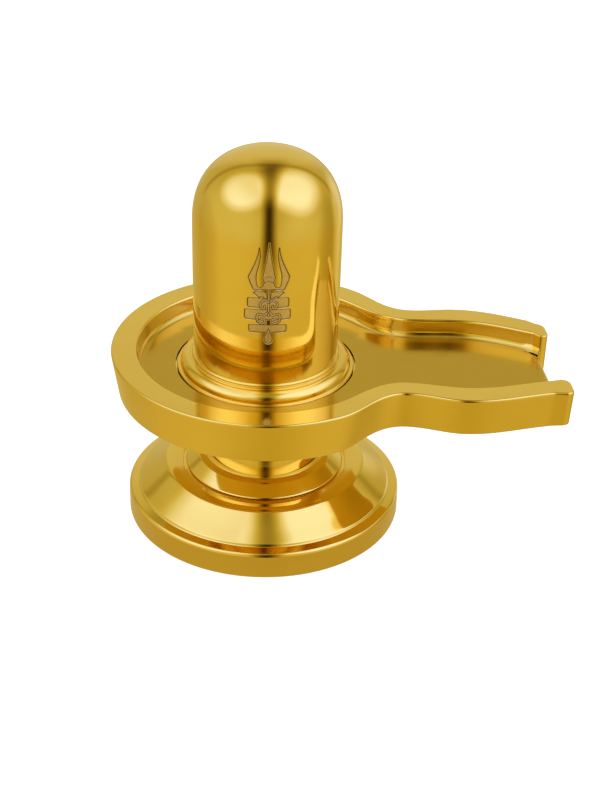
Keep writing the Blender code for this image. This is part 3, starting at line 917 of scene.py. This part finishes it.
# %% Dish outlines
DISH_RADIUS, SPOUT_NECK, SPOUT_BELLY, SPOUT_END = 34.0, 31.5, 43.0, 62.3
UNDERSIDE, RIM, FLOOR = 31.1, 40.8, 36.7
HORN_LENGTH, HORN_HALF, HORN_RIM, HORN_RUN = 2.1, 15.2, 5.8, 2.0
MOUTH_HALF = HORN_HALF - HORN_RIM
SKEW = math.tan(math.radians(9.0))
END_SLOPE = -0.22
NEAR_LEAN, END_LEAN = -0.045, -0.017
SPOUT_STEPS = 26
# Circle, the angle where the spout leaves it, half the neck's width and half the belly's
RIM_LINE = (DISH_RADIUS, 58.0, 19.1, 20.7)
TOP_LINE = (28.3, 46.0, 14.0, 14.8)
FLOOR_LINE = (26.3, 48.0, 11.9, 12.6)


def past_dish(x):
    """0 well within the dish, 1 at the spout's neck and beyond, and smooth between."""
    return soft_step(x, DISH_RADIUS / 2, SPOUT_NECK)


def leaned(points):
    """The spout leans a little towards the near side."""
    points = np.array(points, float)
    x = points[:, 0]
    lean = np.where(x < SPOUT_BELLY, NEAR_LEAN, END_LEAN)
    return np.stack([x, points[:, 1] + lean * (x - SPOUT_BELLY) * past_dish(x)], axis=1)


def end_line(y):
    """How far the spout's floor reaches: it is cut a little askew."""
    return SPOUT_END - y * SKEW


def on_end_line(y):
    """The point of the end line at a distance from the spout's middle."""
    return np.array((end_line(y), y))


def spout_side(radius, leaves, neck_half, belly_half, end_half):
    """The far side of an outline: off the circle, in to the neck, out to the belly, to the end."""
    leaves = math.radians(leaves)
    start = (radius * math.cos(leaves), radius * math.sin(leaves))
    end = (SPOUT_END + HORN_LENGTH, end_half)
    level, down = (1.0, 0.0), (1.0, END_SLOPE)
    way = (math.sin(leaves), -math.cos(leaves))
    return np.concatenate([
        span(start, (SPOUT_NECK, neck_half), way, level, SPOUT_STEPS),
        span((SPOUT_NECK, neck_half), (SPOUT_BELLY, belly_half), level, level, SPOUT_STEPS // 2),
        span((SPOUT_BELLY, belly_half), end, level, down, SPOUT_STEPS), [end]])


def round_back(radius, leaves):
    """The circle's own arc, from the far side round the back to the near side."""
    turns = np.radians(np.linspace(leaves, 360 - leaves, 181)[1:-1])
    return np.stack([radius * np.cos(turns), radius * np.sin(turns)], axis=1)


def inward(points):
    """The way into the metal at each point of an anticlockwise run."""
    along = ways_on(points)
    length = np.linalg.norm(along, axis=1)
    sound = np.flatnonzero(length > 0.01)
    nearest = sound[np.argmin(abs(sound[:, None] - np.arange(len(points))), axis=0)]
    along = along[nearest] / length[nearest, None]
    return np.stack([-along[:, 1], along[:, 0]], axis=1)


print("the spout's flank has", len(spout_side(*RIM_LINE, HORN_HALF)), "points on each side")


# %% Outer wall
HORN_EASE, MOUTH_EASE = 1.7, 2.0
FLANK_STOP = HORN_LENGTH - 2 * HORN_EASE
HORN_STARTS = (-3.0, -0.5)
DISH_TAPER, SPOUT_TAPER, END_TAPER = 1.6, 2.3, 0.3
UNDER_EASE, HORN_UNDER_EASE = 0.4, 0.9
RIM_EASE, MOUTH_RIM_EASE = 0.55, 0.35
THICK = RIM - UNDERSIDE
EASE_ROWS, WALL_ROWS = 6, 8


def horn(sign):
    """One horn's end, from its outer flank round its tip to the foot of its inner face."""
    tip = on_end_line(sign * HORN_HALF) + (HORN_LENGTH, 0)
    foot = on_end_line(sign * MOUTH_HALF)
    inner = foot + (HORN_LENGTH, 0)
    flank = tip - np.array((1.0, sign * END_SLOPE)) * HORN_EASE
    face = (inner - tip) / np.linalg.norm(inner - tip)
    return np.concatenate([bend(flank, tip, tip + face * HORN_EASE, 8),
                           bend(inner - face * MOUTH_EASE, inner, inner - (MOUTH_EASE, 0), 9),
                           [foot]])


def spout_flank(sign):
    """One side of the spout's outline, as far as its horn."""
    side = spout_side(*RIM_LINE, HORN_HALF)
    return side[side[:, 0] < end_line(sign * HORN_HALF) + FLANK_STOP] * (1, sign)


outer = np.concatenate([horn(1)[::-1], spout_flank(1)[::-1], round_back(*RIM_LINE[:2]),
                        spout_flank(-1), horn(-1)])
on_horn = soft_step(outer[:, 0] - end_line(outer[:, 1]), *HORN_STARTS)
flank_share = np.clip((abs(outer[:, 1]) - MOUTH_HALF) / HORN_RIM, 0, 1)
spread = DISH_TAPER + (SPOUT_TAPER - DISH_TAPER) * past_dish(outer[:, 0])
taper = inward(outer) * spread[:, None] * (1 - on_horn[:, None])
taper += np.stack([0 * spread - END_TAPER, -np.sign(outer[:, 1]) * SPOUT_TAPER * flank_share],
                  axis=1) * on_horn[:, None]
under_edge = UNDER_EASE + (HORN_UNDER_EASE - UNDER_EASE) * flank_share * on_horn
rim_edge = RIM_EASE - (RIM_EASE - MOUTH_RIM_EASE) * (1 - flank_share) * on_horn
outer = leaned(outer)
outer_in = inward(outer)


def wall_ring(inset, height):
    """The outer wall at a height over the underside, set in from its outline."""
    share = np.atleast_1d(1 - height / THICK)[:, None]
    plan = outer + outer_in * np.atleast_1d(inset)[:, None] + taper * share
    return np.column_stack([plan, UNDERSIDE + np.broadcast_to(height, len(outer))])


quarter = np.radians(np.linspace(90, 0, EASE_ROWS + 1))
wall = [wall_ring(rim_edge * (1 - math.cos(a)), THICK - rim_edge * (1 - math.sin(a)))
        for a in quarter]
wall += [wall_ring(0 * rim_edge, THICK - rim_edge
                   + (under_edge + rim_edge - THICK) * i / WALL_ROWS)
         for i in range(1, WALL_ROWS)]
wall += [wall_ring(under_edge * (1 - math.cos(a)), under_edge * (1 - math.sin(a)))
         for a in quarter[::-1]]
dish_skin = Skin()
dish_skin.grid(wall, first=(0, 0, 1), last=(0, 0, -1))
print("outer wall:", len(wall), "rows of", len(outer), "points")

# %% [markdown]
# ## Inside the dish
# The inner wall slants down to a floor that it meets in a soft hollow. At the spout's end the
# hollow fades out, the wall turns outwards round a small corner, and the floor rolls over a
# rounded lip, where the water leaves.

# %% Inner wall
LIP_ROUND = 1.7
DEEP = RIM - FLOOR
# The hollow runs from the floor to this share of the wall's run and height
HOLLOW = np.array((0.82, 0.3))
HOLLOW_CORNER, HOLLOW_FOOT = 0.66, 0.165
HOLLOW_FADES = (-3.4, -1.9)
HOLLOW_ROWS = 8
TAIL_HALF, TAIL_RUN, CORNER_EASE = 8.2, 1.0, 0.45
EDGE_DROP, EDGE_CORNER, EDGE_REACH = 0.35, 0.156, 0.45
SATIN_FADES = (-0.9, -0.2)
top_side = spout_side(*TOP_LINE, MOUTH_HALF)
floor_side = spout_side(*FLOOR_LINE, MOUTH_HALF - HORN_RUN)


def inner_run(share):
    """The inner wall's plan, at a share of the way from the floor's edge out to the rim's."""
    sides = []
    for sign in (1, -1):
        side = (floor_side + (top_side - floor_side) * share) * (1, sign)
        side = side[side[:, 0] < end_line(sign * TAIL_HALF) - TAIL_RUN]
        last = on_end_line(sign * (MOUTH_HALF - HORN_RUN * (1 - share)))
        tail = [side[-1] + (last - side[-1]) * i / 8 for i in range(1, 8)]
        slack = min(CORNER_EASE, CORNER_EASE * (abs(last[1] - sign * MOUTH_HALF) + 1e-4))
        back = (tail[-1] - last) / np.linalg.norm(tail[-1] - last)
        foot = on_end_line(sign * MOUTH_HALF)
        out = foot - last
        out = out / np.linalg.norm(out) if np.linalg.norm(out) > 1e-6 else -back
        turn = bend(last + back * slack, last, last + out * slack, 6)
        ending = [turn[-1] + (foot - turn[-1]) * i / 3 for i in (1, 2, 3)]
        sides.append(np.concatenate([side, tail, turn, ending]))
    back_run = round_back(*FLOOR_LINE[:2]) * (1 - share) + round_back(*TOP_LINE[:2]) * share
    return np.concatenate([sides[0][::-1], back_run, sides[1]])


top_run = inner_run(1.0)
near_end = soft_step(top_run[:, 0] - end_line(top_run[:, 1]), *HOLLOW_FADES)
inner_in = inward(leaned(top_run))
section = bend((0.0, 0.0), (HOLLOW_CORNER, 0.0), HOLLOW, HOLLOW_ROWS)
plain_foot = np.array((HOLLOW_FOOT, 0.0))
straight = plain_foot + (HOLLOW - plain_foot) * np.linspace(0, 1, HOLLOW_ROWS + 1)[:, None]


def at_height(plan, height):
    """Points of the leaned plan at one height."""
    return np.column_stack([plan, np.full(len(plan), height)])


def inner_ring(share, height):
    """The inner wall at a share of its run and a height over the floor."""
    return at_height(leaned(inner_run(share)), FLOOR + height)


inner_rows = []
for eased, plain in zip(section, straight):
    soft, hard = inner_ring(eased[0], DEEP * eased[1]), inner_ring(plain[0], DEEP * plain[1])
    inner_rows.append(soft + (hard - soft) * near_end[:, None])
for i in range(1, WALL_ROWS + 1):
    share, height = HOLLOW + (np.array((1.0, 1 - EDGE_DROP / DEEP)) - HOLLOW) * i / WALL_ROWS
    inner_rows.append(inner_ring(share, DEEP * height))
edge = bend((0.0, -EDGE_DROP), (EDGE_CORNER, 0.0), (EDGE_REACH, 0.0), EASE_ROWS)
for across_edge, up_edge in edge[1:]:
    inner_rows.append(at_height(leaned(top_run) - inner_in * across_edge, RIM + up_edge))
inner_rows = inner_rows[::-1]
inner_marks = np.zeros((len(inner_rows), len(top_run), 3))
inner_marks[..., 2] = soft_step(FLOOR - np.array(inner_rows)[..., 2], *SATIN_FADES)
dish_skin.grid(inner_rows, marks=inner_marks, flip=True, first=(0, 0, 1))
print("inner wall:", len(inner_rows), "rows of", len(top_run), "points")

# %% [markdown]
# At the spout's end the wall's foot would hang in the air, so it is carried on down past the
# floor. The lip is one more grid: a quarter round at the floor's end, and the plain end below it.

# %% Below the floor at the spout's end
END_POINTS = 24
DROPS = (0.0, 1.0, 2.0, 3.5, 5.2)
lowest = np.array(inner_rows[-1])
for ends in (slice(0, END_POINTS), slice(len(lowest) - END_POINTS, len(lowest))):
    dish_skin.grid([lowest[ends] - (END_TAPER * drop / DEEP, 0, drop) for drop in DROPS],
                   flip=True)
print("the wall's foot is carried down by", DROPS[-1], "mm")

# %% Lip
CHEEK = MOUTH_HALF - HORN_RUN * (1 - HOLLOW_FOOT)
LIP_TUCK, LIP_GAP = 0.3, 0.02
LIP_SATIN = (-0.6, -0.05)
END_FACE = [(34.0, 0.03), (32.8, 0.12), (31.5, 0.3), (31.25, 0.36), (31.1, 0.5)]
across_lip = np.linspace(-CHEEK - LIP_TUCK, CHEEK + LIP_TUCK, 21)
lip_section = [(FLOOR - LIP_ROUND * (1 - math.sin(a)), LIP_ROUND * (1 - math.cos(a)))
               for a in np.radians(np.linspace(90, 0, 11))] + END_FACE
lip_rows = []
for height, back in lip_section:
    plan = np.stack([end_line(across_lip) - back - LIP_GAP, across_lip], axis=1)
    lip_rows.append(at_height(leaned(plan), height))
lip_marks = np.zeros((len(lip_rows), len(across_lip), 3))
lip_marks[..., 2] = soft_step(np.array(lip_rows)[..., 2] - FLOOR, *LIP_SATIN)
dish_skin.grid(lip_rows, marks=lip_marks, first=(0, 0, 1), last=(0, 0, -1))
print("lip:", len(lip_rows), "rows of", len(across_lip), "points")

# %% [markdown]
# ## Flat faces of the dish
# The rim's top, the basin's floor and the underside are flat, so triangles of any shape do. They
# are stretched between the walls' own edges by a triangulation that keeps those edges. The shaft
# and the waist stand in shallow round seats.

# %% Rim, floor and underside
SHAFT_SEAT, SHAFT_SEAT_FOOT, WAIST_SEAT, SEAT_DEPTH = 19.8, 19.7, 16.3, 0.6
SEAT_TURNS = [TAU * i / 160 for i in range(160)]
SEAT_FLOOR, SEAT_CEILING = FLOOR - SEAT_DEPTH, UNDERSIDE + SEAT_DEPTH

rim_loop = np.concatenate([np.array(wall[0])[:, :2], np.array(inner_rows[0])[::-1, :2]])
dish_skin.plate([rim_loop], RIM)


def seat_ring(radius):
    """A seat's edge in plan."""
    return np.array(ring(radius, 0.0, SEAT_TURNS))[:, :2]


floor_edge = np.array(inner_rows[-1])[:, :2]
on_floor = floor_edge[floor_edge[:, 0] < end_line(floor_edge[:, 1]) - LIP_ROUND - 0.05]
floor_loop = np.concatenate([on_floor, np.array(lip_rows[0])[:, :2]])
dish_skin.plate([floor_loop, seat_ring(SHAFT_SEAT)], FLOOR, mark=(0, 0, 1))
turned(dish_skin, [(0.0, SEAT_FLOOR), (SHAFT_SEAT_FOOT, SEAT_FLOOR)], SEAT_TURNS)
turned(dish_skin, [(SHAFT_SEAT, FLOOR), (SHAFT_SEAT_FOOT, SEAT_FLOOR)], SEAT_TURNS, flip=True)
dish_skin.plate([np.array(wall[-1])[:, :2], seat_ring(WAIST_SEAT)], UNDERSIDE, up=-1)
turned(dish_skin, [(WAIST_SEAT, SEAT_CEILING), (WAIST_SEAT, UNDERSIDE)], SEAT_TURNS, flip=True)
turned(dish_skin, [(WAIST_SEAT, SEAT_CEILING), (0.0, SEAT_CEILING)], SEAT_TURNS)
dish = dish_skin.piece("spouted_dish")
stands_for(dish, "yoni_dish", dish_finish)

# %% [markdown]
# ## Measuring the result
# The Standard view shows colours as they are written, without a film's look. The finished pieces
# are measured beside their solids, so that a skin that has grown or shifted shows at once.

# %% Finish
bpy.context.scene.view_settings.view_transform = "Standard"
scene_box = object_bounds()
plain = [[[float(v) for v in corner] for corner in box] for box in (cad_box, scene_box)]
for label, (low, high) in zip(("solids", "scene"), plain):
    print(label, [round((b - a) / MM, 2) for a, b in zip(low, high)], "mm")
